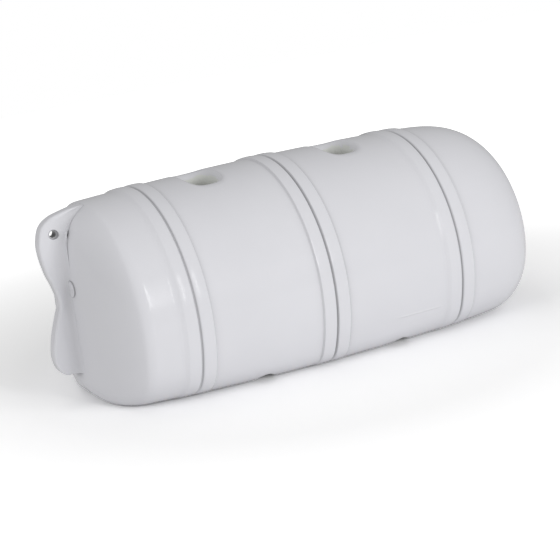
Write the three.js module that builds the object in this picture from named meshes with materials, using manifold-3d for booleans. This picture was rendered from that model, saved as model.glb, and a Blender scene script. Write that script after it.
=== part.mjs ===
// Boat fender: one hollow white plastic moulding that lies on a flat back.
// Round above and flat below, with three pairs of rings, two fixing holes straight down through it, a rope
// channel across the back at each hole, rounded ends, and a fin with two lobes on the left end.
// Millimetres. X runs along the fender, Y across it, Z up. The origin is under its middle, on the flat back.

import * as THREE from "three";
import { mergeVertices } from "three/addons/utils/BufferGeometryUtils.js";
import Module from "manifold-3d";

// Body: rings at the middle of it, and a back edge whose rounding grows towards the ends
const RADIUS = 110;
const AXIS_HEIGHT = 69.4;
const BACK_EDGE_RADIUS = 34;
const BACK_EDGE_GROWTH = 26;
const CROWN_DROP = 4.4;
const CROWN_REACH = 180;

// Left end: an arc over the top, an end face that is bowed in plan, and a rounded lift of the back
const LEFT_LENGTH = 207;
const LEFT_SHOULDER = 27.5;
const LEFT_ARC_RADIUS = 84;
const LEFT_ARC_SETBACK = 60.5;
const LEFT_PLAN_REACH = 36.5;
const LEFT_LIFT = 21.5;
const RIM_RADIUS = 8;

// Right end: a blunt dome that closes on a small flat
const RIGHT_LENGTH = 230.5;
const RIGHT_REACH = 80.5;
const RIGHT_TAPER = 5;
const RIGHT_DROP = 85.7;
const RIGHT_POWER = 3;
const RIGHT_LIFT_REACH = 44.5;
const RIGHT_LIFT = 40.5;

// Rings
const RING_PITCH = 130.6;
const RINGS_EACH_SIDE = 1;
const RIDGE_PITCH = 14;
const RIDGE_HEIGHT = 0.7;
const RIDGE_FLANK = 2.75;
const RIDGE_CROWN = 0.2;

// Fixing holes
const HOLE_PITCH = 138;
const BORE_RADIUS = 12;
const THROAT_HALF_LENGTH = 13.5;
const THROAT_HALF_WIDTH = 19;
const MOUTH_HALF_LENGTH = 18.5;
const MOUTH_HALF_WIDTH = 34;
const MOUTH_DEPTH = 13;
const MOUTH_LIP_ANGLE = 66;
const MOUTH_STEPS = 6;
const MOUTH_POWER = 3;

// Rope channels across the back
const CHANNEL_RADIUS = 12;
const CHANNEL_DEPTH = 8;
const CHANNEL_SHIFT = 5;

// Fin on the left end: reach beyond the end face, and its edge from the shoulder down to the lower lobe.
// Each point of the edge gives the share of the reach and the height above the axis as a share of the radius.
const FIN_REACH = 21.7;
const FIN_THICKNESS = 12;
const FIN_EDGE_RADIUS = 2.5;
const FIN_FILLET = 10;
const FIN_FILLET_SHARE = 0.65;
const FIN_EDGE = [
  [-1.15, 0.954],
  [-0.78, 0.951],
  [-0.17, 0.93],
  [0.33, 0.9],
  [0.72, 0.841],
  [0.92, 0.733],
  [0.95, 0.65],
  [0.78, 0.457],
  [0.59, 0.35],
  [0.46, 0.247],
  [0.46, 0.173],
  [0.6, 0.1],
  [0.9, -0.083],
  [1, -0.229],
  [0.88, -0.329],
  [0.6, -0.384],
  [0.36, -0.38],
];

// Rope hole through the upper lobe of the fin
const EYE_RADIUS = 3;
const EYE_MOUTH_RADIUS = 4.4;
const EYE_BEYOND_END = 6;
const EYE_ABOVE_AXIS = 85;

// Moulded plug mark on the left end face
const PLUG_RADIUS = 7.5;
const PLUG_HEIGHT = 1;
const PLUG_SIDE = -13;
const PLUG_ABOVE_AXIS = 35.5;

// Fineness of the faces
const ARC_STEPS = 44;
const CORNER_STEPS = 4;
const SHOULDER_STEPS = 2;
const END_STEPS = 10;
const DOME_STEPS = 12;
const PROFILE_STEPS = 48;
const SPAN_STEPS = 3;
const HOLE_STEPS = 36;
const FIN_STEPS = 30;
const FILLET_STEPS = 4;

// Depths by which a cutter or a foot goes past the face that it meets
const OVERCUT = 6;
const EMBED = 3;

// Last angle of the bowed end face, and the least drop of a section's floor below its axis
const PLAN_LAST_ANGLE = 83;
const FLOOR_SHARE = 0.985;

const wasm = await Module();
wasm.setup();

const degrees = THREE.MathUtils.degToRad;
const smooth = (t) => THREE.MathUtils.smoothstep(t, 0, 1);

// Height of a round end at distance d beyond its arc's centre: the arc, then the rounded rim of the end face.
function endCurve(d, arcRadius, reach) {
  const rimCentre = reach - RIM_RADIUS;
  const rimHeight = Math.sqrt((arcRadius - RIM_RADIUS) ** 2 - rimCentre ** 2);
  const tangent = (rimCentre * arcRadius) / (arcRadius - RIM_RADIUS);
  if (d <= tangent) {
    return Math.sqrt(arcRadius ** 2 - d ** 2);
  }
  return rimHeight + Math.sqrt(Math.max(RIM_RADIUS ** 2 - (d - rimCentre) ** 2, 0));
}

// Radius of the round part at x: a slight crown, then the arc of the left end or the dome of the right end.
function roundRadius(x) {
  const crown = RADIUS - CROWN_DROP * (x / CROWN_REACH) ** 2;
  const shoulder = LEFT_LENGTH - LEFT_SHOULDER;
  if (-x > shoulder) {
    const level = RADIUS - CROWN_DROP * (shoulder / CROWN_REACH) ** 2;
    const setback = LEFT_ARC_SETBACK - LEFT_SHOULDER;
    const base = level - Math.sqrt(LEFT_ARC_RADIUS ** 2 - setback ** 2);
    return base + endCurve(-x - shoulder + setback, LEFT_ARC_RADIUS, LEFT_ARC_SETBACK);
  }
  const start = RIGHT_LENGTH - RIGHT_REACH;
  if (x > start) {
    const share = Math.min((x - start) / RIGHT_REACH, 1);
    const fall = 1 - (1 - share ** RIGHT_POWER) ** (1 / RIGHT_POWER);
    return RADIUS - CROWN_DROP * (start / CROWN_REACH) ** 2 - RIGHT_TAPER * share - RIGHT_DROP * fall;
  }
  return crown;
}

// Height of the back at x: level, then lifted by a quarter round at each end.
function backHeight(x) {
  const leftShare = Math.max((-x - LEFT_LENGTH + LEFT_LIFT) / LEFT_LIFT, 0);
  const rightShare = Math.max((x - RIGHT_LENGTH + RIGHT_LIFT_REACH) / RIGHT_LIFT_REACH, 0);
  const left = LEFT_LIFT * (1 - Math.sqrt(Math.max(1 - leftShare ** 2, 0)));
  const right = RIGHT_LIFT * (1 - Math.sqrt(Math.max(1 - rightShare ** 2, 0)));
  return left + right;
}

// Width share at x: whole, then less along the left end, whose face is bowed in plan.
function planShare(x) {
  const share = Math.max((-x - LEFT_LENGTH + LEFT_PLAN_REACH) / LEFT_PLAN_REACH, 0);
  return Math.sqrt(Math.max(1 - share ** 2, 0));
}

// Ridge height at x: each ring is two flat-topped ridges side by side.
function ridgeHeight(x) {
  for (let ring = -RINGS_EACH_SIDE; ring <= RINGS_EACH_SIDE; ring += 1) {
    const fromRidge = Math.abs(Math.abs(x - ring * RING_PITCH) - RIDGE_PITCH / 2);
    const fromFoot = RIDGE_PITCH / 2 - fromRidge;
    if (fromFoot > 0) {
      const crown = RIDGE_CROWN * (1 - (2 * fromRidge / RIDGE_PITCH) ** 2);
      return RIDGE_HEIGHT * smooth(fromFoot / RIDGE_FLANK) + crown;
    }
  }
  return 0;
}

// One section of the body: the flat back, two rounded back edges and the big arc over the top.
function bodySection(x) {
  const radius = roundRadius(x);
  const share = planShare(x);
  const floor = Math.max(backHeight(x), AXIS_HEIGHT - FLOOR_SHARE * radius);
  const growth = BACK_EDGE_GROWTH * (x / CROWN_REACH) ** 2;
  const corner = (BACK_EDGE_RADIUS + growth) * (radius / RADIUS);
  const ridge = ridgeHeight(x);
  const cornerAngle = Math.acos((AXIS_HEIGHT - floor - corner) / (radius - corner));
  const cornerY = (radius - corner) * Math.sin(cornerAngle);
  const loop = [];
  const addPoint = (y, z) => loop.push(new THREE.Vector3(x, share * y, z));
  const addCorner = (side, from, to) => {
    for (let i = 0; i < CORNER_STEPS; i += 1) {
      const angle = THREE.MathUtils.lerp(from, to, i / CORNER_STEPS);
      const reach = corner + ridge * smooth(angle / cornerAngle);
      addPoint(side * (cornerY + reach * Math.sin(angle)), floor + corner - reach * Math.cos(angle));
    }
  };
  addCorner(1, 0, cornerAngle);
  for (let i = 0; i < ARC_STEPS; i += 1) {
    const angle = THREE.MathUtils.lerp(cornerAngle, 2 * Math.PI - cornerAngle, i / ARC_STEPS);
    const reach = radius + ridge;
    addPoint(reach * Math.sin(angle), AXIS_HEIGHT - reach * Math.cos(angle));
  }
  addCorner(-1, cornerAngle, 0);
  addPoint(-cornerY, floor);
  return loop;
}

// Places along the body where its section is drawn, from the left end to the right.
function bodyStations() {
  const planStart = LEFT_LENGTH - LEFT_PLAN_REACH;
  const shoulderAngle = Math.asin(1 - LEFT_SHOULDER / LEFT_PLAN_REACH);
  const lastAngle = degrees(PLAN_LAST_ANGLE);
  const stations = [];
  for (let i = END_STEPS; i > 0; i -= 1) {
    const angle = THREE.MathUtils.lerp(shoulderAngle, lastAngle, i / END_STEPS);
    stations.push(-planStart - LEFT_PLAN_REACH * Math.sin(angle));
  }
  for (let i = SHOULDER_STEPS; i >= 0; i -= 1) {
    stations.push(-planStart - LEFT_PLAN_REACH * Math.sin((i / SHOULDER_STEPS) * shoulderAngle));
  }
  const marks = [];
  for (const foot of [-RIDGE_PITCH, 0]) {
    marks.push(foot, foot + RIDGE_FLANK / 2, foot + RIDGE_FLANK, foot + RIDGE_PITCH / 2);
    marks.push(foot + RIDGE_PITCH - RIDGE_FLANK, foot + RIDGE_PITCH - RIDGE_FLANK / 2);
  }
  marks.push(RIDGE_PITCH);
  for (let ring = -RINGS_EACH_SIDE; ring <= RINGS_EACH_SIDE; ring += 1) {
    const from = stations[stations.length - 1];
    const to = ring * RING_PITCH - RIDGE_PITCH;
    for (let i = 1; i < SPAN_STEPS; i += 1) {
      stations.push(THREE.MathUtils.lerp(from, to, i / SPAN_STEPS));
    }
    for (const mark of marks) {
      stations.push(ring * RING_PITCH + mark);
    }
  }
  for (let i = 0; i <= DOME_STEPS; i += 1) {
    const angle = (i / DOME_STEPS) * (Math.PI / 2);
    stations.push(RIGHT_LENGTH - RIGHT_REACH * (1 - Math.sin(angle) ** (2 / RIGHT_POWER)));
  }
  return stations;
}

// A closed solid from loops of equal count, with a fan over each end loop.
function loft(loops) {
  const count = loops[0].length;
  const points = loops.flat();
  const first = points.length;
  for (const loop of [loops[0], loops[loops.length - 1]]) {
    const middle = new THREE.Vector3();
    loop.forEach((point) => middle.addScaledVector(point, 1 / count));
    points.push(middle);
  }
  const faces = [];
  for (let row = 0; row < loops.length - 1; row += 1) {
    for (let i = 0; i < count; i += 1) {
      const a = row * count + i;
      const b = row * count + ((i + 1) % count);
      faces.push(a, b, b + count, a, b + count, a + count);
    }
  }
  const lastRow = (loops.length - 1) * count;
  for (let i = 0; i < count; i += 1) {
    const next = (i + 1) % count;
    faces.push(first, next, i);
    faces.push(first + 1, lastRow + i, lastRow + next);
  }
  const geometry = new THREE.BufferGeometry().setFromPoints(points);
  geometry.setIndex(faces);
  return toSolid(geometry);
}

// The geometry as a solid, with its faces turned outward.
function toSolid(geometry) {
  geometry.deleteAttribute("normal");
  geometry.deleteAttribute("uv");
  const merged = mergeVertices(geometry, 1e-4);
  const position = merged.getAttribute("position");
  const index = Array.from(merged.index.array);
  const [a, b, c] = [new THREE.Vector3(), new THREE.Vector3(), new THREE.Vector3()];
  let volume = 0;
  for (let i = 0; i < index.length; i += 3) {
    a.fromBufferAttribute(position, index[i]);
    b.fromBufferAttribute(position, index[i + 1]);
    c.fromBufferAttribute(position, index[i + 2]);
    volume += a.dot(b.cross(c));
  }
  if (volume < 0) {
    index.reverse();
  }
  const mesh = new wasm.Mesh({
    numProp: 3,
    vertProperties: Float32Array.from(position.array),
    triVerts: Uint32Array.from(index),
  });
  return new wasm.Manifold(mesh);
}

// Cutter for a fixing hole: a straight bore, a throat, and a rounded mouth that follows the round top.
function fixingHole(x) {
  const top = AXIS_HEIGHT + roundRadius(x);
  const level = (halfLength, halfWidth, depth, power) => {
    const squared = (value) => Math.sign(value) * Math.abs(value) ** (2 / power);
    const loop = [];
    for (let i = 0; i < HOLE_STEPS; i += 1) {
      const angle = (i / HOLE_STEPS) * 2 * Math.PI;
      const y = halfWidth * squared(Math.sin(angle));
      const drop = RADIUS - Math.sqrt(RADIUS ** 2 - y ** 2);
      loop.push(new THREE.Vector3(x + halfLength * squared(Math.cos(angle)), y, top - depth - drop));
    }
    return loop;
  };
  const loops = [top + OVERCUT, top / 2].map((depth) => level(BORE_RADIUS, BORE_RADIUS, depth, 2));
  const lastAngle = degrees(MOUTH_LIP_ANGLE);
  for (let i = 0; i <= MOUTH_STEPS; i += 1) {
    const angle = lastAngle * (i / MOUTH_STEPS);
    const open = 1 - Math.cos(angle);
    loops.push(level(
      THROAT_HALF_LENGTH + (MOUTH_HALF_LENGTH - THROAT_HALF_LENGTH) * open / (1 - Math.cos(lastAngle)),
      THROAT_HALF_WIDTH + (MOUTH_HALF_WIDTH - THROAT_HALF_WIDTH) * open / (1 - Math.cos(lastAngle)),
      MOUTH_DEPTH * (1 - Math.sin(angle) / Math.sin(lastAngle)),
      MOUTH_POWER,
    ));
  }
  loops.push(level(MOUTH_HALF_LENGTH + OVERCUT, MOUTH_HALF_WIDTH + OVERCUT, -OVERCUT, MOUTH_POWER));
  return loft(loops);
}

// Cutter for the rope channel across the back at one hole.
function ropeChannel(x) {
  const cylinder = new THREE.CylinderGeometry(CHANNEL_RADIUS, CHANNEL_RADIUS, 2 * (RADIUS + OVERCUT), HOLE_STEPS);
  cylinder.translate(x + CHANNEL_SHIFT, 0, CHANNEL_DEPTH - CHANNEL_RADIUS);
  return toSolid(cylinder);
}

// The middle line of the left end, from the shoulder down to the lifted back, in the XZ plane.
function endProfile() {
  const upper = [];
  const lower = [];
  for (let i = 0; i <= PROFILE_STEPS; i += 1) {
    const x = -LEFT_LENGTH + LEFT_SHOULDER * (1 - Math.sin((i / PROFILE_STEPS) * (Math.PI / 2)));
    upper.push(new THREE.Vector3(x, 0, AXIS_HEIGHT + roundRadius(x)));
    lower.push(new THREE.Vector3(x, 0, backHeight(x)));
  }
  return upper.concat(lower.reverse());
}

// Nearest point to a target on a line of points.
function nearestOn(line, target) {
  const segment = new THREE.Line3();
  const candidate = new THREE.Vector3();
  let best = null;
  for (let i = 0; i < line.length - 1; i += 1) {
    segment.set(line[i], line[i + 1]);
    segment.closestPointToPoint(target, true, candidate);
    if (best === null || candidate.distanceTo(target) < best.distanceTo(target)) {
      best = candidate.clone();
    }
  }
  return best;
}

// The fin: at each step along its edge, a rib that stands on the end with a fillet and has a rounded edge.
function fin() {
  const edge = new THREE.CatmullRomCurve3(FIN_EDGE.map(([reach, height]) => new THREE.Vector3(
    -LEFT_LENGTH - reach * FIN_REACH,
    0,
    AXIS_HEIGHT + height * RADIUS,
  )), false, "centripetal");
  const profile = endProfile();
  const half = FIN_THICKNESS / 2;
  const loops = edge.getSpacedPoints(FIN_STEPS).map((tip) => {
    const foot = nearestOn(profile, tip);
    const up = tip.clone().sub(foot);
    const height = up.length();
    up.normalize();
    const fillet = Math.min(FIN_FILLET, FIN_FILLET_SHARE * height);
    const round = Math.min(FIN_EDGE_RADIUS, (1 - FIN_FILLET_SHARE) * height);
    const side = [[half + fillet, -EMBED]];
    for (let i = 0; i <= FILLET_STEPS; i += 1) {
      const angle = (i / FILLET_STEPS) * (Math.PI / 2);
      side.push([half + fillet * (1 - Math.sin(angle)), fillet * (1 - Math.cos(angle)) - 0.1 * fillet]);
    }
    for (let i = 0; i < FILLET_STEPS; i += 1) {
      const angle = (i / FILLET_STEPS) * (Math.PI / 2);
      side.push([half - round * (1 - Math.cos(angle)), height - round * (1 - Math.sin(angle))]);
    }
    side.push([(half - round) * 0.7, height]);
    const mirrored = side.map(([y, rise]) => [-y, rise]).reverse();
    return side.concat(mirrored).map(([y, rise]) => foot.clone().addScaledVector(up, rise).setY(y));
  });
  return loft(loops);
}

// Cutter for the rope hole in the fin, a little wider where it comes out on each side.
function finEye() {
  const out = FIN_THICKNESS / 2 + FIN_FILLET + EMBED;
  const half = FIN_THICKNESS / 2;
  const lip = EYE_MOUTH_RADIUS - EYE_RADIUS;
  const stops = [
    [-out, EYE_MOUTH_RADIUS],
    [-half, EYE_MOUTH_RADIUS],
    [-half + lip, EYE_RADIUS],
    [half - lip, EYE_RADIUS],
    [half, EYE_MOUTH_RADIUS],
    [out, EYE_MOUTH_RADIUS],
  ];
  const turns = HOLE_STEPS / 2;
  return loft(stops.map(([y, radius]) => {
    const loop = [];
    for (let i = 0; i < turns; i += 1) {
      const angle = (i / turns) * 2 * Math.PI;
      loop.push(new THREE.Vector3(
        -LEFT_LENGTH - EYE_BEYOND_END + radius * Math.cos(angle),
        y,
        AXIS_HEIGHT + EYE_ABOVE_AXIS + radius * Math.sin(angle),
      ));
    }
    return loop;
  }));
}

// The low round plug mark on the left end face.
function endPlug() {
  const height = PLUG_HEIGHT + 2 * EMBED;
  const disc = new THREE.CylinderGeometry(PLUG_RADIUS, PLUG_RADIUS - PLUG_HEIGHT, height, HOLE_STEPS / 2);
  disc.rotateZ(-Math.PI / 2);
  const share = Math.sqrt(1 - (PLUG_SIDE / roundRadius(-LEFT_LENGTH)) ** 2);
  const face = LEFT_LENGTH - LEFT_PLAN_REACH * (1 - share);
  disc.translate(-face - PLUG_HEIGHT + height / 2, PLUG_SIDE, AXIS_HEIGHT + PLUG_ABOVE_AXIS);
  return toSolid(disc);
}

// The solid as a drawable geometry again.
function toGeometry(solid) {
  const mesh = solid.getMesh();
  const geometry = new THREE.BufferGeometry();
  geometry.setAttribute("position", new THREE.BufferAttribute(Float32Array.from(mesh.vertProperties), mesh.numProp));
  geometry.setIndex(Array.from(mesh.triVerts));
  geometry.computeVertexNormals();
  return geometry;
}

function buildBody() {
  let solid = loft(bodyStations().map(bodySection));
  solid = solid.add(fin()).add(endPlug());
  for (const side of [-1, 1]) {
    const x = (side * HOLE_PITCH) / 2;
    solid = solid.subtract(fixingHole(x)).subtract(ropeChannel(x));
  }
  return solid.subtract(finEye());
}

const plastic = new THREE.MeshStandardMaterial({ color: 0xe9e9ee, roughness: 0.28, metalness: 0 });

const body = new THREE.Mesh(toGeometry(buildBody()), plastic);
body.name = "fender_body";
body.position.x = (LEFT_LENGTH + FIN_REACH - RIGHT_LENGTH) / 2;

const fender = new THREE.Group();
fender.name = "boat_fender";
fender.add(body);

export default fender;
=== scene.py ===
"""Looks of the boat fender: one glossy white hollow moulding that lies on its flat back."""
import logging
import math
from dataclasses import dataclass, field
from enum import Enum

import bmesh
import bpy
import numpy as np
from mathutils import Matrix, Vector


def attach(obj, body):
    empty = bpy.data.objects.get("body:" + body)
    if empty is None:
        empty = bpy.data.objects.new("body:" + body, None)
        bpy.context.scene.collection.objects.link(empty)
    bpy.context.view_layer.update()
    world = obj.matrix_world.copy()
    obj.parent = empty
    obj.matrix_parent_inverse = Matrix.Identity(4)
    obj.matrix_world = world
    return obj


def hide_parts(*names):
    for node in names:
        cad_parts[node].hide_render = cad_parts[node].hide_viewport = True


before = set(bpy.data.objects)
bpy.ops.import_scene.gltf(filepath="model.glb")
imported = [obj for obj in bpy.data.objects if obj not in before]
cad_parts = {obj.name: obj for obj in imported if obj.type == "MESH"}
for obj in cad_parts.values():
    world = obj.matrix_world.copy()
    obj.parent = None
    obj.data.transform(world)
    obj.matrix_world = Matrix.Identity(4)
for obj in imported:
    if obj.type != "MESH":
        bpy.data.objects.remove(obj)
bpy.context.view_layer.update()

LOG = logging.getLogger("fender")
MM = 0.001


class CutMode(Enum):
    """What a cutter or an added form does to the shell."""

    REMOVE = "DIFFERENCE"
    ADD = "UNION"


def smooth_step(share: np.ndarray) -> np.ndarray:
    """Returns the smooth step of a share, held between 0 and 1."""
    held = np.clip(share, 0.0, 1.0)
    return held * held * (3.0 - 2.0 * held)


def mesh_object(name: str, points: np.ndarray, faces: list) -> bpy.types.Object:
    """Makes an object from points in millimetres, with its faces turned outward.

    Args:
        name: The object's name.
        points: One row for each vertex, in millimetres.
        faces: Tuples of vertex numbers.

    Returns:
        The new object, linked to the scene, in metres.
    """
    mesh = bpy.data.meshes.new(name)
    mesh.from_pydata((np.asarray(points) * MM).tolist(), [], faces)
    mesh.validate()
    turn_outward(mesh)
    thing = bpy.data.objects.new(name, mesh)
    bpy.context.scene.collection.objects.link(thing)
    return thing


def turn_outward(mesh: bpy.types.Mesh) -> None:
    """Merges doubles in a closed mesh and turns its faces outward."""
    work = bmesh.new()
    work.from_mesh(mesh)
    bmesh.ops.remove_doubles(work, verts=work.verts, dist=1e-6)
    bmesh.ops.recalc_face_normals(work, faces=work.faces)
    work.to_mesh(mesh)
    work.free()
    mesh.update()


def loft_faces(rows: int, count: int) -> list:
    """Faces of a closed loft of rows of loops, with a fan at each end.

    Args:
        rows: How many loops there are.
        count: How many points each loop has.

    Returns:
        Faces that also use two middle points, which follow the last loop.
    """
    grid = np.arange(rows * count).reshape(rows, count)
    after = np.roll(grid, -1, axis=1)
    quads = np.stack([grid[:-1], after[:-1], after[1:], grid[1:]], axis=-1).reshape(-1, 4)
    first, last = rows * count, rows * count + 1
    faces = [tuple(quad) for quad in quads.tolist()]
    faces += [(first, int(b), int(a)) for a, b in zip(grid[0], after[0])]
    faces += [(last, int(a), int(b)) for a, b in zip(grid[-1], after[-1])]
    return faces


def loft_object(name: str, loops: np.ndarray) -> bpy.types.Object:
    """Returns a closed object lofted through loops of shape (rows, count, 3), in millimetres."""
    rows, count = loops.shape[:2]
    middles = np.stack([loops[0].mean(axis=0), loops[-1].mean(axis=0)])
    points = np.concatenate([loops.reshape(-1, 3), middles])
    return mesh_object(name, points, loft_faces(rows, count))


def apply_modifiers(thing: bpy.types.Object) -> None:
    """Replaces the object's mesh by its evaluated one and takes its modifiers off."""
    graph = bpy.context.evaluated_depsgraph_get()
    graph.update()
    result = bpy.data.meshes.new_from_object(thing.evaluated_get(graph))
    old = thing.data
    thing.modifiers.clear()
    thing.data = result
    bpy.data.meshes.remove(old)


def combine(base: bpy.types.Object, other: bpy.types.Object, mode: CutMode) -> None:
    """Joins another closed object to the base or cuts it out, and deletes it.

    Args:
        base: The object that is kept.
        other: The added form or the cutter.
        mode: Whether it is added or removed.
    """
    tool = base.modifiers.new("combine", "BOOLEAN")
    tool.operation = mode.value
    tool.solver = "EXACT"
    tool.object = other
    apply_modifiers(base)
    bpy.data.objects.remove(other)


def set_range(node: bpy.types.Node, source: tuple, result: tuple) -> None:
    """Sets the two spans of a map range node.

    Args:
        node: The node.
        source: The values that come in.
        result: What they become.
    """
    for label, value in zip(("From Min", "From Max", "To Min", "To Max"), source + result):
        node.inputs[label].default_value = value


@dataclass
class BodyShape:
    """The rule of the round body with its flat back, in millimetres from the middle ring."""

    radius: float = 110.0
    axis_height: float = 69.4
    back_edge: float = 34.0
    back_edge_growth: float = 26.0
    crown_drop: float = 4.4
    crown_reach: float = 180.0
    left_length: float = 207.0
    left_shoulder: float = 27.5
    left_arc: float = 84.0
    left_arc_setback: float = 60.5
    left_plan_reach: float = 36.5
    left_lift: float = 21.5
    rim_radius: float = 8.0
    right_length: float = 230.5
    right_reach: float = 80.5
    right_taper: float = 5.0
    right_drop: float = 85.7
    right_power: float = 3.0
    right_lift_reach: float = 44.5
    right_lift: float = 40.5
    floor_share: float = 0.985
    fin_reach: float = 21.7

    @property
    def offset(self) -> float:
        """Where the middle ring stands along X in the shared frame."""
        return (self.left_length + self.fin_reach - self.right_length) / 2.0

    def end_arc(self, distance: np.ndarray) -> np.ndarray:
        """Height of the left end's arc and rounded rim at a distance beyond the arc's centre."""
        arc, rim, reach = self.left_arc, self.rim_radius, self.left_arc_setback
        rim_centre = reach - rim
        rim_height = math.sqrt((arc - rim) ** 2 - rim_centre ** 2)
        tangent = rim_centre * arc / (arc - rim)
        low = rim_height + np.sqrt(np.maximum(rim ** 2 - (distance - rim_centre) ** 2, 0.0))
        return np.where(distance <= tangent, np.sqrt(np.maximum(arc ** 2 - distance ** 2, 0.0)), low)

    def round_radius(self, x: np.ndarray) -> np.ndarray:
        """Radius of the round part at x.

        Args:
            x: Places along the body, from the middle ring.

        Returns:
            The radius at each place.
        """
        x = np.asarray(x, dtype=float)
        crown = self.radius - self.crown_drop * (x / self.crown_reach) ** 2
        shoulder = self.left_length - self.left_shoulder
        level = self.radius - self.crown_drop * (shoulder / self.crown_reach) ** 2
        setback = self.left_arc_setback - self.left_shoulder
        base = level - math.sqrt(self.left_arc ** 2 - setback ** 2)
        left = base + self.end_arc(-x - shoulder + setback)
        start = self.right_length - self.right_reach
        share = np.clip((x - start) / self.right_reach, 0.0, 1.0)
        fall = 1.0 - (1.0 - share ** self.right_power) ** (1.0 / self.right_power)
        crown_there = self.radius - self.crown_drop * (start / self.crown_reach) ** 2
        right = crown_there - self.right_taper * share - self.right_drop * fall
        return np.where(-x > shoulder, left, np.where(x > start, right, crown))

    def back_height(self, x: np.ndarray) -> np.ndarray:
        """Height of the back at x: level, then lifted by a quarter round at each end."""
        x = np.asarray(x, dtype=float)
        left = np.clip((-x - self.left_length + self.left_lift) / self.left_lift, 0.0, 1.0)
        right = np.clip((x - self.right_length + self.right_lift_reach) / self.right_lift_reach, 0.0, 1.0)
        return (self.left_lift * (1.0 - np.sqrt(1.0 - left ** 2))
                + self.right_lift * (1.0 - np.sqrt(1.0 - right ** 2)))

    def plan_share(self, x: np.ndarray) -> np.ndarray:
        """Width share at x, which falls along the left end's bowed face."""
        reach = self.left_plan_reach
        share = np.clip((-np.asarray(x, dtype=float) - self.left_length + reach) / reach, 0.0, 1.0)
        return np.sqrt(1.0 - share ** 2)


@dataclass
class Rings:
    """The three pairs of low ridges that run round the body, in millimetres."""

    pitch: float = 130.6
    ridge_pitch: float = 14.0
    height: float = 1.3
    crown: float = 0.6
    flank: float = 1.5

    def tree(self, material: bpy.types.Material) -> bpy.types.NodeTree:
        """Builds the node tree that raises the ridges along the surface normal.

        Args:
            material: The finish that the tree sets at its end.

        Returns:
            The tree, with named inputs for the sizes.
        """
        tree = bpy.data.node_groups.new("raised_rings", "GeometryNodeTree")
        face = tree.interface
        face.new_socket("Geometry", in_out="INPUT", socket_type="NodeSocketGeometry")
        for label in ("Middle", "Ring Pitch", "Ridge Pitch", "Ridge Height", "Ridge Crown", "Flank"):
            face.new_socket(label, in_out="INPUT", socket_type="NodeSocketFloat")
        face.new_socket("Geometry", in_out="OUTPUT", socket_type="NodeSocketGeometry")
        nodes, links = tree.nodes, tree.links
        source = nodes.new("NodeGroupInput")
        result = nodes.new("NodeGroupOutput")

        def math_node(kind: str, first: object, second: object = None, third: object = None) -> object:
            """Adds a math node of a kind and returns its output; values may be sockets or numbers."""
            node = nodes.new("ShaderNodeMath")
            node.operation = kind
            for slot, value in zip(node.inputs, (first, second, third)):
                if isinstance(value, (int, float)):
                    slot.default_value = value
                elif value is not None:
                    links.new(value, slot)
            return node.outputs[0]

        split = nodes.new("ShaderNodeSeparateXYZ")
        links.new(nodes.new("GeometryNodeInputPosition").outputs[0], split.inputs[0])
        along = math_node("SUBTRACT", split.outputs[0], source.outputs["Middle"])
        half_pitch = math_node("MULTIPLY", source.outputs["Ring Pitch"], 0.5)
        from_ring = math_node("WRAP", along, half_pitch, math_node("MULTIPLY", half_pitch, -1.0))
        half_ridge = math_node("MULTIPLY", source.outputs["Ridge Pitch"], 0.5)
        from_ridge = math_node("ABSOLUTE", math_node("SUBTRACT", math_node("ABSOLUTE", from_ring), half_ridge))
        from_foot = math_node("SUBTRACT", half_ridge, from_ridge)
        step = nodes.new("ShaderNodeMapRange")
        step.interpolation_type = "SMOOTHSTEP"
        links.new(from_foot, step.inputs["Value"])
        links.new(source.outputs["Flank"], step.inputs["From Max"])
        round_share = math_node("POWER", math_node("DIVIDE", from_ridge, half_ridge), 2.0)
        crown = math_node("MULTIPLY", math_node("SUBTRACT", 1.0, round_share), source.outputs["Ridge Crown"])
        rise = math_node("MULTIPLY_ADD", step.outputs[0], source.outputs["Ridge Height"], crown)
        inside = math_node("GREATER_THAN", from_foot, 0.0)
        fade = nodes.new("GeometryNodeInputNamedAttribute")
        fade.data_type = "FLOAT"
        fade.inputs["Name"].default_value = "ridge_fade"
        height = math_node("MULTIPLY", math_node("MULTIPLY", rise, inside), fade.outputs["Attribute"])
        push = nodes.new("ShaderNodeVectorMath")
        push.operation = "SCALE"
        links.new(nodes.new("GeometryNodeInputNormal").outputs[0], push.inputs[0])
        links.new(height, push.inputs["Scale"])
        move = nodes.new("GeometryNodeSetPosition")
        real = nodes.new("GeometryNodeRealizeInstances")
        dress = nodes.new("GeometryNodeSetMaterial")
        dress.inputs["Material"].default_value = material
        links.new(source.outputs["Geometry"], move.inputs["Geometry"])
        links.new(push.outputs[0], move.inputs["Offset"])
        links.new(move.outputs[0], real.inputs[0])
        links.new(real.outputs[0], dress.inputs["Geometry"])
        links.new(dress.outputs[0], result.inputs[0])
        return tree

    def raise_on(self, thing: bpy.types.Object, middle: float, material: bpy.types.Material) -> None:
        """Raises the ridges on the body's surface and leaves a plain mesh.

        Args:
            thing: The body, with its ridge_fade attribute.
            middle: Where the middle ring stands along X, in millimetres.
            material: The body's finish.
        """
        tree = self.tree(material)
        live = thing.modifiers.new("rings", "NODES")
        live.node_group = tree
        sizes = {
            "Middle": middle, "Ring Pitch": self.pitch, "Ridge Pitch": self.ridge_pitch,
            "Ridge Height": self.height, "Ridge Crown": self.crown, "Flank": self.flank,
        }
        for item in tree.interface.items_tree:
            if item.in_out == "INPUT" and item.name in sizes:
                live[item.identifier] = sizes[item.name] * MM
        apply_modifiers(thing)


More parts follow.
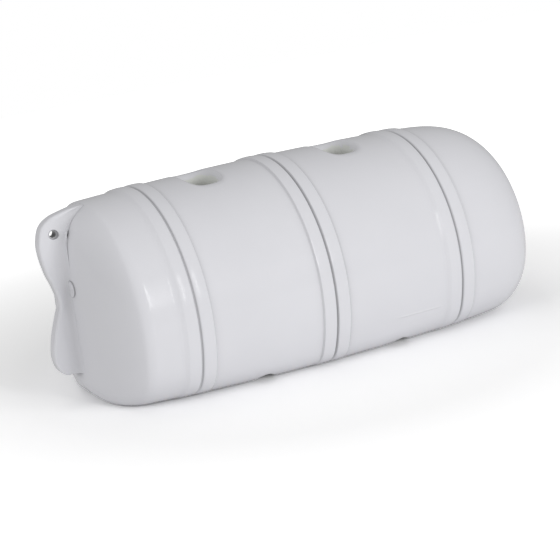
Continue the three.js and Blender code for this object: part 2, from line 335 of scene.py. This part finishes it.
@dataclass
class Holes:
    """The two fixing holes down through the body and the rope channel across the back at each."""

    pitch: float = 138.0
    bore: float = 12.0
    throat: tuple = (13.5, 19.0)
    mouth: tuple = (18.5, 34.0)
    mouth_depth: float = 13.0
    lip_angle: float = 66.0
    power: float = 3.0
    # Shares of the mouth's opening: up to the first the lip is cut, up to the second it is sunk softly.
    lip_start: float = 0.72
    lip_end: float = 1.3
    lip_overlap: float = 0.04
    lip_reach: tuple = (2.0, 1.8)
    widest: float = 3.0
    search_steps: int = 30
    below: float = 8.0
    above: float = 20.0
    channel_radius: float = 12.0
    channel_depth: float = 8.0
    channel_shift: float = 5.0
    channel_overrun: float = 8.0
    steps: int = 120
    levels: int = 22

    def places(self, offset: float) -> list:
        """Returns where the two holes stand along X."""
        return [offset - self.pitch / 2.0, offset + self.pitch / 2.0]

    def depth(self, opening: np.ndarray) -> np.ndarray:
        """Depth of the mouth below the round top where it has opened by a share."""
        last = math.radians(self.lip_angle)
        angle = np.arccos(1.0 - np.clip(opening, 0.0, 1.0) * (1.0 - math.cos(last)))
        return self.mouth_depth * (1.0 - np.sin(angle) / math.sin(last))

    def opening(self, across: np.ndarray, side: np.ndarray) -> np.ndarray:
        """Opening share of the mouth's outline through each point.

        Args:
            across: Distance from the hole along X.
            side: Distance from the hole along Y.

        Returns:
            0 at the throat, 1 at the lip, more outside.
        """
        low = np.zeros_like(across)
        high = np.full_like(across, self.widest)
        for _ in range(self.search_steps):
            middle = (low + high) / 2.0
            half_x = self.throat[0] + (self.mouth[0] - self.throat[0]) * middle
            half_y = self.throat[1] + (self.mouth[1] - self.throat[1]) * middle
            outside = (np.abs(across) / half_x) ** self.power + (np.abs(side) / half_y) ** self.power > 1.0
            low = np.where(outside, middle, low)
            high = np.where(outside, high, middle)
        return (low + high) / 2.0

    def sink_lips(self, points: np.ndarray, offset: float, axis_height: float) -> None:
        """Lowers the round top softly round each mouth, in place."""
        for place in self.places(offset):
            near = points[:, 2] > axis_height
            for column, middle in enumerate((place, 0.0)):
                near &= np.abs(points[:, column] - middle) < self.lip_reach[column] * self.mouth[column]
            share = self.opening(points[near, 0] - place, points[near, 1])
            start = float(self.depth(np.array([self.lip_start]))[0])
            ease = np.clip((self.lip_end - share) / (self.lip_end - self.lip_start), 0.0, 1.0)
            sunk = np.where(share < self.lip_start, self.depth(share), start * ease ** 2)
            points[near, 2] -= sunk

    def bore_cutter(self, shape: BodyShape, place: float) -> bpy.types.Object:
        """Makes the cutter for one hole: bore, throat and rounded mouth."""
        turn = np.linspace(0.0, 2.0 * math.pi, self.steps, endpoint=False)
        top = shape.axis_height + float(shape.round_radius(place - shape.offset))

        def level(half_x: float, half_y: float, depth: float, power: float) -> np.ndarray:
            """One loop of the cutter, which follows the round top."""
            cos, sin = np.cos(turn), np.sin(turn)
            x = half_x * np.sign(cos) * np.abs(cos) ** (2.0 / power)
            y = half_y * np.sign(sin) * np.abs(sin) ** (2.0 / power)
            drop = shape.radius - np.sqrt(shape.radius ** 2 - y ** 2)
            return np.stack([place + x, y, top - depth - drop], axis=1)

        loops = [level(self.bore, self.bore, depth, 2.0)
                 for depth in (top + self.below, top * 0.75, top / 2.0)]
        for share in np.linspace(0.0, 1.0, self.levels) ** 2 * (self.lip_start + self.lip_overlap):
            half_x = self.throat[0] + (self.mouth[0] - self.throat[0]) * share
            half_y = self.throat[1] + (self.mouth[1] - self.throat[1]) * share
            loops.append(level(half_x, half_y, float(self.depth(np.array([share]))[0]), self.power))
        loops.append(loops[-1] + np.array([0.0, 0.0, self.above]))
        return loft_object("bore_cutter", np.stack(loops))

    def channel_cutter(self, shape: BodyShape, place: float) -> bpy.types.Object:
        """Makes the cutter for the rope channel across the back at one hole."""
        turn = np.linspace(0.0, 2.0 * math.pi, self.steps, endpoint=False)
        reach = shape.radius + self.channel_overrun
        loops = []
        for y in (-reach, reach):
            x = place + self.channel_shift + self.channel_radius * np.cos(turn)
            z = self.channel_depth - self.channel_radius + self.channel_radius * np.sin(turn)
            loops.append(np.stack([x, np.full_like(x, y), z], axis=1))
        return loft_object("channel_cutter", np.stack(loops))


@dataclass
class Fin:
    """The fin on the left end, with its two lobes, rope eye and blended foot, in millimetres."""

    thickness: float = 12.0
    edge_radius: float = 2.5
    fillet: float = 10.0
    fillet_share: float = 0.65
    foot_drop: float = 0.1
    tip_share: float = 0.7
    embed: float = 3.0
    steps: int = 150
    mark_steps: int = 24
    profile_steps: int = 400
    corner_steps: int = 9
    eye_steps: int = 64
    eye_corner_steps: int = 6
    eye_radius: float = 3.0
    eye_mouth: float = 4.4
    eye_beyond: float = 6.0
    eye_above: float = 85.0
    # Marks on the edge: share of the fin's reach beyond the end, share of the radius above the axis.
    edge: tuple = (
        (-1.15, 0.954), (-0.78, 0.951), (-0.17, 0.93), (0.33, 0.9), (0.72, 0.841), (0.92, 0.733),
        (0.95, 0.65), (0.78, 0.457), (0.59, 0.35), (0.46, 0.247), (0.46, 0.173), (0.6, 0.1),
        (0.9, -0.083), (1.0, -0.229), (0.88, -0.329), (0.6, -0.384), (0.36, -0.38),
    )

    def curve(self, shape: BodyShape) -> np.ndarray:
        """Points evenly spaced along the fin's edge, by a centripetal curve through its marks."""
        reach, high = np.array(self.edge).T
        marks = np.stack([-shape.left_length - reach * shape.fin_reach,
                          shape.axis_height + high * shape.radius], axis=1)
        marks = np.vstack([2 * marks[0] - marks[1], marks, 2 * marks[-1] - marks[-2]])
        dense = []
        for first in range(len(marks) - 3):
            four = marks[first:first + 4]
            steps = np.linalg.norm(np.diff(four, axis=0), axis=1) ** 0.5
            knots = np.concatenate([[0.0], np.cumsum(steps)])
            for t in np.linspace(knots[1], knots[2], self.mark_steps, endpoint=False):
                dense.append(self.blend(four, knots, t))
        dense = np.array(dense + [marks[-2]])
        run = np.concatenate([[0.0], np.cumsum(np.linalg.norm(np.diff(dense, axis=0), axis=1))])
        even = np.linspace(0.0, run[-1], self.steps + 1)
        return np.stack([np.interp(even, run, dense[:, 0]), np.interp(even, run, dense[:, 1])], axis=1)

    @staticmethod
    def blend(marks: np.ndarray, knots: np.ndarray, t: float) -> np.ndarray:
        """Blends four marks in three rounds, each between two of the knots.

        Args:
            marks: Four points.
            knots: Their four places along the curve.
            t: A place between the two inner knots.

        Returns:
            The curve's point at that place.
        """
        for spans in (((0, 1), (1, 2), (2, 3)), ((0, 2), (1, 3)), ((1, 2),)):
            marks = [(marks[j] * (knots[b] - t) + marks[j + 1] * (t - knots[a])) / (knots[b] - knots[a])
                     for j, (a, b) in enumerate(spans)]
        return marks[0]

    def profile(self, shape: BodyShape) -> np.ndarray:
        """The middle line of the left end in the XZ plane, from the shoulder down to the back."""
        turn = np.linspace(0.0, math.pi / 2.0, self.profile_steps)
        x = -shape.left_length + shape.left_shoulder * (1.0 - np.sin(turn))
        upper = np.stack([x, shape.axis_height + shape.round_radius(x)], axis=1)
        lower = np.stack([x, shape.back_height(x)], axis=1)
        joint = np.linspace(upper[-1], lower[-1], self.profile_steps)
        return np.concatenate([upper, joint, lower[::-1]])

    def build(self, shape: BodyShape) -> bpy.types.Object:
        """Makes the fin as ribs that stand on the end with a blended foot and a rounded edge.

        Args:
            shape: The body that carries the fin.

        Returns:
            A closed object that goes a little into the body.
        """
        line = self.profile(shape)
        half = self.thickness / 2.0
        turn = np.linspace(0.0, math.pi / 2.0, self.corner_steps)
        loops = []
        for tip in self.curve(shape):
            foot = line[np.argmin(np.linalg.norm(line - tip, axis=1))]
            height = float(np.linalg.norm(tip - foot))
            up = (tip - foot) / height
            fillet = min(self.fillet, self.fillet_share * height)
            edge = min(self.edge_radius, (1.0 - self.fillet_share) * height)
            side = [(half + fillet, -self.embed)]
            side += [(half + fillet * (1 - math.sin(a)), fillet * (1 - math.cos(a)) - self.foot_drop * fillet)
                     for a in turn]
            side += [(half - edge * (1 - math.cos(a)), height - edge * (1 - math.sin(a))) for a in turn[:-1]]
            side.append(((half - edge) * self.tip_share, height))
            both = side + [(-y, rise) for y, rise in reversed(side)]
            loops.append([(foot[0] + up[0] * rise + shape.offset, y, foot[1] + up[1] * rise)
                          for y, rise in both])
        return loft_object("fin", np.array(loops))

    def eye_cutter(self, shape: BodyShape) -> bpy.types.Object:
        """Makes the cutter for the rope eye, a little wider where it comes out on each side."""
        half, lip = self.thickness / 2.0, self.eye_mouth - self.eye_radius
        out = half + self.fillet + self.embed
        turn = np.linspace(0.0, 2.0 * math.pi, self.eye_steps, endpoint=False)
        corner = np.linspace(0.0, math.pi / 2.0, self.eye_corner_steps)
        near = [(-out, self.eye_mouth)]
        near += [(-half + lip * math.sin(a), self.eye_mouth - lip * (1.0 - math.cos(a))) for a in corner]
        stops = near + [(-y, r) for y, r in reversed(near)]
        x = -shape.left_length - self.eye_beyond + shape.offset
        z = shape.axis_height + self.eye_above
        loops = [np.stack([x + r * np.cos(turn), np.full_like(turn, y), z + r * np.sin(turn)], axis=1)
                 for y, r in stops]
        return loft_object("eye_cutter", np.stack(loops))


@dataclass
class PlugMark:
    """The low round mark on the left end face where the moulding was closed, in millimetres."""

    radius: float = 7.5
    height: float = 1.0
    side: float = -13.0
    above: float = 35.5
    depth: float = 3.0
    dish_radius: float = 0.45
    dish_height: float = 0.75
    steps: int = 64
    corner_steps: int = 6

    def build(self, shape: BodyShape) -> bpy.types.Object:
        """Makes the mark with a rounded rim and a slight hollow in its middle."""
        share = math.sqrt(1.0 - (self.side / float(shape.round_radius(-shape.left_length))) ** 2)
        face = shape.left_length - shape.left_plan_reach * (1.0 - share)
        turn = np.linspace(0.0, 2.0 * math.pi, self.steps, endpoint=False)
        rings = [(self.radius, -self.depth)]
        rings += [(self.radius - self.height * (1.0 - math.cos(a)), self.height * math.sin(a))
                  for a in np.linspace(0.0, math.pi / 2.0, self.corner_steps)]
        rings.append((self.radius * self.dish_radius, self.height * self.dish_height))
        loops = [np.stack([
            np.full_like(turn, -face - rise + shape.offset),
            self.side + r * np.cos(turn),
            shape.axis_height + self.above + r * np.sin(turn),
        ], axis=1) for r, rise in rings]
        return loft_object("plug_mark", np.stack(loops))


@dataclass
class FenderBody:
    """The whole moulding: body, rings, holes, channels, fin, eye and plug mark."""

    shape: BodyShape = field(default_factory=BodyShape)
    rings: Rings = field(default_factory=Rings)
    holes: Holes = field(default_factory=Holes)
    fin: Fin = field(default_factory=Fin)
    plug: PlugMark = field(default_factory=PlugMark)
    # Columns of one section: the flat back, each rounded back edge and the round part, closer at its top.
    flat_columns: int = 18
    corner_columns: int = 16
    arc_columns: int = 190
    top_share: float = 0.4
    # Rows along the body: how many at each end, and the steps in millimetres between them.
    left_rows: int = 42
    left_last: float = 88.0
    right_rows: int = 46
    ring_margin: float = 1.0
    ring_step: float = 0.7
    hole_share: float = 1.35
    hole_step: float = 1.25
    plain_step: float = 3.0
    # What counts as a wall inside a hole and takes the duller finish.
    wall_margin: tuple = (2.5, 3.0)
    wall_foot: float = 1.0
    wall_top: float = 0.55
    wall_width: float = 0.75
    wall_slope: float = 0.3
    smooth_angle: float = 38.0

    def stations(self) -> np.ndarray:
        """Places along the body where its section is drawn, closer at rings, mouths and ends."""
        shape, rings, holes = self.shape, self.rings, self.holes
        plan_start = shape.left_length - shape.left_plan_reach
        angles = np.linspace(0.0, math.radians(self.left_last), self.left_rows)
        left = -plan_start - shape.left_plan_reach * np.sin(angles)[::-1]
        turn = np.linspace(0.0, math.pi / 2.0, self.right_rows)
        right = shape.right_length - shape.right_reach * (1.0 - np.sin(turn) ** (2.0 / shape.right_power))
        marks = []
        x = float(left[-1])
        while x < right[0]:
            marks.append(x)
            from_ring = abs((x + rings.pitch / 2.0) % rings.pitch - rings.pitch / 2.0)
            from_hole = min(abs(x - holes.pitch / 2.0), abs(x + holes.pitch / 2.0))
            if from_ring < rings.ridge_pitch + self.ring_margin:
                x += self.ring_step
            elif from_hole < self.hole_share * holes.mouth[0]:
                x += self.hole_step
            else:
                x += self.plain_step
        return np.concatenate([left[:-1], np.array(marks), right])

    def surface(self) -> tuple:
        """Points of the round body with its soft lips, and how much of a ridge each may carry.

        Returns:
            Loops of shape (rows, columns, 3) in millimetres, and the fade of shape (rows, columns).
        """
        shape = self.shape
        x = self.stations()[:, None]
        radius = shape.round_radius(x)
        share = shape.plan_share(x)
        floor = np.maximum(shape.back_height(x), shape.axis_height - shape.floor_share * radius)
        growth = shape.back_edge_growth * (x / shape.crown_reach) ** 2
        corner = (shape.back_edge + growth) * radius / shape.radius
        bend = np.arccos((shape.axis_height - floor - corner) / (radius - corner))
        corner_y = (radius - corner) * np.sin(bend)
        edge = np.linspace(0.0, 1.0, self.corner_columns, endpoint=False)[None, :]
        flat = np.linspace(-1.0, 1.0, self.flat_columns, endpoint=False)[None, :]
        along = np.linspace(0.0, 1.0, self.arc_columns + 1)[None, :]
        along = along + self.top_share * np.sin(2.0 * math.pi * along) / (2.0 * math.pi)
        arc = bend + (2.0 * math.pi - 2.0 * bend) * along
        y_parts = [corner_y * flat, corner_y + corner * np.sin(bend * edge), radius * np.sin(arc)]
        z_parts = [floor + 0.0 * flat, floor + corner - corner * np.cos(bend * edge),
                   shape.axis_height - radius * np.cos(arc)]
        rows = np.ones_like(x)
        fades = [0.0 * rows * flat, rows * smooth_step(edge), np.ones_like(arc)]
        back = edge[:, ::-1]
        y_parts.append(-(corner_y + corner * np.sin(bend * back)))
        z_parts.append(floor + corner - corner * np.cos(bend * back))
        fades.append(rows * smooth_step(back))
        y = share * np.concatenate(y_parts, axis=1)
        z = np.concatenate(z_parts, axis=1)
        loops = np.stack([np.broadcast_to(x + shape.offset, y.shape), y, z], axis=2)
        # The last column meets the first one again, so it is left out.
        return loops[:, :-1], np.concatenate(fades, axis=1)[:, :-1]

    def blank(self) -> bpy.types.Object:
        """Makes the plain round body with soft lips, before its rings, and stores the ridge fade."""
        loops, fade = self.surface()
        flat = loops.reshape(-1, 3).copy()
        self.holes.sink_lips(flat, self.shape.offset, self.shape.axis_height)
        loops = flat.reshape(loops.shape)
        rows, count = loops.shape[:2]
        middles = np.stack([loops[0].mean(axis=0), loops[-1].mean(axis=0)])
        points = np.concatenate([loops.reshape(-1, 3), middles])
        thing = mesh_object("fender_shell", points, loft_faces(rows, count))
        if len(thing.data.vertices) == len(points):
            values = np.concatenate([fade.reshape(-1), [0.0, 0.0]])
            layer = thing.data.attributes.new("ridge_fade", "FLOAT", "POINT")
            layer.data.foreach_set("value", values.astype(np.float32))
        else:
            LOG.warning("the body has %d points merged", len(points) - len(thing.data.vertices))
        return thing

    def build(self, skin: bpy.types.Material, bore_skin: bpy.types.Material) -> bpy.types.Object:
        """Makes the moulding as one mesh.

        Args:
            skin: The finish outside.
            bore_skin: The finish inside the holes.

        Returns:
            The finished piece, with its place in its mesh.
        """
        shell = self.blank()
        self.rings.raise_on(shell, self.shape.offset, skin)
        combine(shell, self.fin.build(self.shape), CutMode.ADD)
        combine(shell, self.plug.build(self.shape), CutMode.ADD)
        for place in self.holes.places(self.shape.offset):
            combine(shell, self.holes.bore_cutter(self.shape, place), CutMode.REMOVE)
            combine(shell, self.holes.channel_cutter(self.shape, place), CutMode.REMOVE)
        combine(shell, self.fin.eye_cutter(self.shape), CutMode.REMOVE)
        self.dress(shell, skin, bore_skin)
        return shell

    def dress(self, shell: bpy.types.Object, skin: bpy.types.Material, bore_skin: bpy.types.Material) -> None:
        """Smooths the shell and gives the walls of its holes their own finish."""
        mesh = shell.data
        mesh.materials.clear()
        mesh.materials.append(skin)
        mesh.materials.append(bore_skin)
        shape, holes = self.shape, self.holes
        places = holes.places(shape.offset)
        top = shape.axis_height + shape.radius - holes.mouth_depth * self.wall_top
        half_x, half_y = (size + margin for size, margin in zip(holes.throat, self.wall_margin))
        for face in mesh.polygons:
            x, y, z = (value / MM for value in face.center)
            in_hole = any(abs(x - place) < half_x for place in places) and abs(y) < half_y
            in_hole = in_hole and self.wall_foot < z < top and abs(y) < shape.radius * self.wall_width
            upright = abs(face.normal.x) + abs(face.normal.y) > self.wall_slope
            face.material_index = int(in_hole and upright)
        mesh.shade_smooth()
        mesh.set_sharp_from_angle(angle=math.radians(self.smooth_angle))


@dataclass(frozen=True)
class Wear:
    """Effects that both plastics share: mottle, waviness and a fine skin."""

    name: str = "moulded_skin"
    mottle_scale: float = 9.0
    wave_scale: float = 14.0
    fine_scale: float = 900.0
    fine_share: float = 0.006

    def group(self) -> bpy.types.NodeTree:
        """Builds the node group.

        Returns:
            A shader node group with named inputs, whose outputs are a mottle mask, a gloss mask and a height.
        """
        tree = bpy.data.node_groups.new(self.name, "ShaderNodeTree")
        scales = (("Mottle Scale", self.mottle_scale, 3.0), ("Wave Scale", self.wave_scale, 1.0),
                  ("Fine Scale", self.fine_scale, 2.0))
        for label, value, _ in scales:
            socket = tree.interface.new_socket(label, in_out="INPUT", socket_type="NodeSocketFloat")
            socket.default_value = value
        for label in ("Mottle", "Gloss", "Height"):
            tree.interface.new_socket(label, in_out="OUTPUT", socket_type="NodeSocketFloat")
        nodes, links = tree.nodes, tree.links
        source, result = nodes.new("NodeGroupInput"), nodes.new("NodeGroupOutput")
        place = nodes.new("ShaderNodeTexCoord").outputs["Object"]
        noises = {}
        for label, _, detail in scales:
            noise = nodes.new("ShaderNodeTexNoise")
            noise.inputs["Detail"].default_value = detail
            links.new(place, noise.inputs["Vector"])
            links.new(source.outputs[label], noise.inputs["Scale"])
            noises[label] = noise.outputs["Fac"]
        weigh = nodes.new("ShaderNodeMath")
        weigh.operation = "MULTIPLY_ADD"
        weigh.inputs[1].default_value = self.fine_share
        links.new(noises["Fine Scale"], weigh.inputs[0])
        links.new(noises["Wave Scale"], weigh.inputs[2])
        links.new(noises["Mottle Scale"], result.inputs["Mottle"])
        links.new(noises["Wave Scale"], result.inputs["Gloss"])
        links.new(weigh.outputs[0], result.inputs["Height"])
        return tree


@dataclass(frozen=True)
class Seam:
    """The thin raised line of the mould's parting on the near side, in metres.

    Each span is a coordinate, its middle, half its full part and the width of its fade.
    """

    spans: tuple = (("Z", 0.0325, 0.0001, 0.0014), ("X", 0.085, 0.018, 0.008), ("Y", -0.12, 0.05, 0.01))
    height: float = 0.0003

    def bump(self, nodes: bpy.types.Nodes, links: bpy.types.NodeLinks) -> bpy.types.Node:
        """Adds the nodes that raise the line.

        Args:
            nodes: The material's nodes.
            links: The material's links.

        Returns:
            The bump node, whose Normal input is still free.
        """
        split = nodes.new("ShaderNodeSeparateXYZ")
        links.new(nodes.new("ShaderNodeTexCoord").outputs["Object"], split.inputs[0])
        mask = None
        for axis, middle, flat, fade in self.spans:
            away, size = nodes.new("ShaderNodeMath"), nodes.new("ShaderNodeMath")
            away.operation, size.operation = "SUBTRACT", "ABSOLUTE"
            away.inputs[1].default_value = middle
            links.new(split.outputs[axis], away.inputs[0])
            links.new(away.outputs[0], size.inputs[0])
            step = nodes.new("ShaderNodeMapRange")
            step.interpolation_type = "SMOOTHSTEP"
            set_range(step, (flat, flat + fade), (1.0, 0.0))
            links.new(size.outputs[0], step.inputs["Value"])
            if mask is None:
                mask = step.outputs[0]
                continue
            both = nodes.new("ShaderNodeMath")
            both.operation = "MULTIPLY"
            links.new(mask, both.inputs[0])
            links.new(step.outputs[0], both.inputs[1])
            mask = both.outputs[0]
        bump = nodes.new("ShaderNodeBump")
        bump.inputs["Distance"].default_value = self.height
        links.new(mask, bump.inputs["Height"])
        return bump


@dataclass(frozen=True)
class Plastic:
    """One plastic finish: two close colours, a range of roughness, waves, a seam and painted shade in its
    creases.
    """

    name: str
    colour: tuple
    second: tuple
    roughness: tuple
    wave: float
    seam: Seam | None = None
    ior: float = 1.5
    specular: float = 0.5
    # How far the painted shade reaches, in metres: ambient occlusion darkens the colour in creases and
    # hollows.
    painted_crease_shade: float = 0.008
    mottle_span: tuple = (0.35, 0.7)
    gloss_span: tuple = (0.3, 0.7)

    def material(self, wear: bpy.types.NodeTree) -> bpy.types.Material:
        """Builds the finish.

        Args:
            wear: The shared node group.

        Returns:
            The node-based material.
        """
        finish = bpy.data.materials.new(self.name)
        finish.use_nodes = True
        nodes, links = finish.node_tree.nodes, finish.node_tree.links
        shader = nodes["Principled BSDF"]
        shader.inputs["IOR"].default_value = self.ior
        shader.inputs["Specular IOR Level"].default_value = self.specular
        shared = nodes.new("ShaderNodeGroup")
        shared.node_tree = wear
        ramp = nodes.new("ShaderNodeValToRGB")
        stops = zip(ramp.color_ramp.elements, self.mottle_span, (self.colour, self.second))
        for stop, place, colour in stops:
            stop.position = place
            stop.color = (*colour, 1.0)
        links.new(shared.outputs["Mottle"], ramp.inputs[0])
        # Painted shade: ambient occlusion darkens the base colour in creases, at the ridges' feet, round the
        # mouths and at the fin's foot.
        painted_crease_shade = nodes.new("ShaderNodeAmbientOcclusion")
        painted_crease_shade.only_local = True
        painted_crease_shade.inputs["Distance"].default_value = self.painted_crease_shade
        links.new(ramp.outputs[0], painted_crease_shade.inputs["Color"])
        links.new(painted_crease_shade.outputs["Color"], shader.inputs["Base Color"])
        rough = nodes.new("ShaderNodeMapRange")
        set_range(rough, self.gloss_span, self.roughness)
        links.new(shared.outputs["Gloss"], rough.inputs["Value"])
        links.new(rough.outputs[0], shader.inputs["Roughness"])
        normal = nodes.new("ShaderNodeBump")
        normal.inputs["Distance"].default_value = self.wave
        links.new(shared.outputs["Height"], normal.inputs["Height"])
        if self.seam:
            waves, normal = normal, self.seam.bump(nodes, links)
            links.new(waves.outputs[0], normal.inputs["Normal"])
        links.new(normal.outputs[0], shader.inputs["Normal"])
        return finish


@dataclass(frozen=True)
class Panel:
    """One soft lamp: where it stands, what it looks at, its size, its power and whether gloss mirrors it."""

    name: str
    place: tuple
    target: tuple
    size: tuple
    power: float
    mirrored: bool
    colour: tuple = (1.0, 1.0, 1.0)

    def build(self) -> bpy.types.Object:
        """Makes the lamp and turns it to its target."""
        lamp = bpy.data.lights.new(self.name, "AREA")
        lamp.shape = "RECTANGLE"
        lamp.size, lamp.size_y = self.size
        lamp.energy = self.power
        lamp.color = self.colour
        thing = bpy.data.objects.new(self.name, lamp)
        thing.location = self.place
        thing.visible_glossy = self.mirrored
        aim = Vector(self.target) - Vector(self.place)
        thing.rotation_euler = aim.to_track_quat("-Z", "Y").to_euler()
        bpy.context.scene.collection.objects.link(thing)
        return thing


@dataclass
class Studio:
    """The white floor, the soft lamps, the world and the camera."""

    camera_place: tuple = (-0.7538, -1.6182, 0.5427)
    camera_forward: tuple = (0.40717, 0.87572, -0.25948)
    camera_up: tuple = (0.22116, 0.18111, 0.95827)
    lens: float = 2000.0 / 560.0 * 36.0
    world_level: float = 0.38
    floor_half: float = 1.5
    floor_drop: float = 0.0002
    floor_colour: float = 0.93
    floor_seen: tuple = (1.36, 2.9)
    floor_span: tuple = (0.25, 1.0)
    view_end: float = 100.0
    lamps: tuple = (
        Panel("front_box", (1.15, -2.9, 0.9), (0.0, 0.0, 0.08), (1.6, 1.0), 40.0, False),
        Panel("window_right", (0.33, -2.25, 1.12), (-0.16, -0.1, 0.1), (0.2, 1.0), 3.2, True),
        Panel("top_box", (-0.5, 0.7, 2.4), (0.0, 0.0, 0.08), (1.6, 1.6), 5.0, False),
        Panel("left_box", (-2.6, -0.9, 1.3), (0.0, 0.0, 0.08), (1.4, 1.2), 15.0, False),
    )

    def build(self) -> None:
        """Makes the floor, the world, the lamps and the camera."""
        self.floor()
        self.world()
        for panel in self.lamps:
            panel.build()
        self.camera()

    def floor(self) -> None:
        """Makes the floor, which keeps the shadow and turns white to the camera farther out."""
        half = self.floor_half
        mesh = bpy.data.meshes.new("floor")
        corners = [(-half, -half, 0), (half, -half, 0), (half, half, 0), (-half, half, 0)]
        mesh.from_pydata(corners, [], [(0, 1, 2, 3)])
        thing = bpy.data.objects.new("floor", mesh)
        thing.location.z = -self.floor_drop
        bpy.context.scene.collection.objects.link(thing)
        finish = bpy.data.materials.new("floor_white")
        finish.use_nodes = True
        nodes, links = finish.node_tree.nodes, finish.node_tree.links
        nodes.clear()
        result = nodes.new("ShaderNodeOutputMaterial")
        plain = nodes.new("ShaderNodeBsdfDiffuse")
        plain.inputs["Color"].default_value = (self.floor_colour,) * 3 + (1.0,)
        seen = nodes.new("ShaderNodeBsdfDiffuse")
        away = nodes.new("ShaderNodeVectorMath")
        away.operation = "LENGTH"
        links.new(nodes.new("ShaderNodeTexCoord").outputs["Object"], away.inputs[0])
        level = nodes.new("ShaderNodeMapRange")
        set_range(level, self.floor_span, self.floor_seen)
        links.new(away.outputs["Value"], level.inputs["Value"])
        links.new(level.outputs[0], seen.inputs["Color"])
        path = nodes.new("ShaderNodeLightPath")
        both = nodes.new("ShaderNodeMixShader")
        links.new(path.outputs["Is Camera Ray"], both.inputs["Fac"])
        links.new(plain.outputs[0], both.inputs[1])
        links.new(seen.outputs[0], both.inputs[2])
        links.new(both.outputs[0], result.inputs["Surface"])
        mesh.materials.append(finish)

    def world(self) -> None:
        """Makes the world: white to the camera, a plain grey level to everything else."""
        world = bpy.data.worlds.new("studio")
        bpy.context.scene.world = world
        world.use_nodes = True
        nodes, links = world.node_tree.nodes, world.node_tree.links
        back = nodes["Background"]
        back.inputs["Color"].default_value = (1.0, 1.0, 1.0, 1.0)
        path = nodes.new("ShaderNodeLightPath")
        level = nodes.new("ShaderNodeMapRange")
        level.inputs["To Min"].default_value = self.world_level
        level.inputs["To Max"].default_value = 1.0
        links.new(path.outputs["Is Camera Ray"], level.inputs["Value"])
        links.new(level.outputs[0], back.inputs["Strength"])

    def camera(self) -> None:
        """Sets the camera at the photograph's viewing angle."""
        data = bpy.data.cameras.new("camera")
        data.sensor_fit = "AUTO"
        data.sensor_width = 36.0
        data.lens = self.lens
        data.clip_end = self.view_end
        forward = Vector(self.camera_forward).normalized()
        right = forward.cross(Vector(self.camera_up)).normalized()
        up = right.cross(forward)
        turn = Matrix((right, up, -forward)).transposed().to_4x4()
        thing = bpy.data.objects.new("camera", data)
        thing.matrix_world = Matrix.Translation(self.camera_place) @ turn
        bpy.context.scene.collection.objects.link(thing)
        bpy.context.scene.camera = thing


def main() -> bpy.types.Object:
    """Builds the fender and its studio in order.

    Returns:
        The finished moulding.
    """
    logging.basicConfig(level=logging.INFO, format="%(message)s")
    bpy.context.scene.view_settings.view_transform = "Standard"
    wear = Wear().group()
    skin = Plastic(
        "white_gloss", (0.79, 0.79, 0.825), (0.765, 0.765, 0.8), (0.1, 0.2), 0.0004, Seam(),
    ).material(wear)
    bore = Plastic(
        "white_inside", (0.77, 0.78, 0.75), (0.7, 0.715, 0.68), (0.35, 0.5), 0.0006,
    ).material(wear)
    shell = FenderBody().build(skin, bore)
    LOG.info("%s: %d faces", shell.name, len(shell.data.polygons))
    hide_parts("fender_body")
    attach(shell, "root")
    Studio().build()
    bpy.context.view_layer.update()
    return shell


if __name__ == "__main__":
    main()
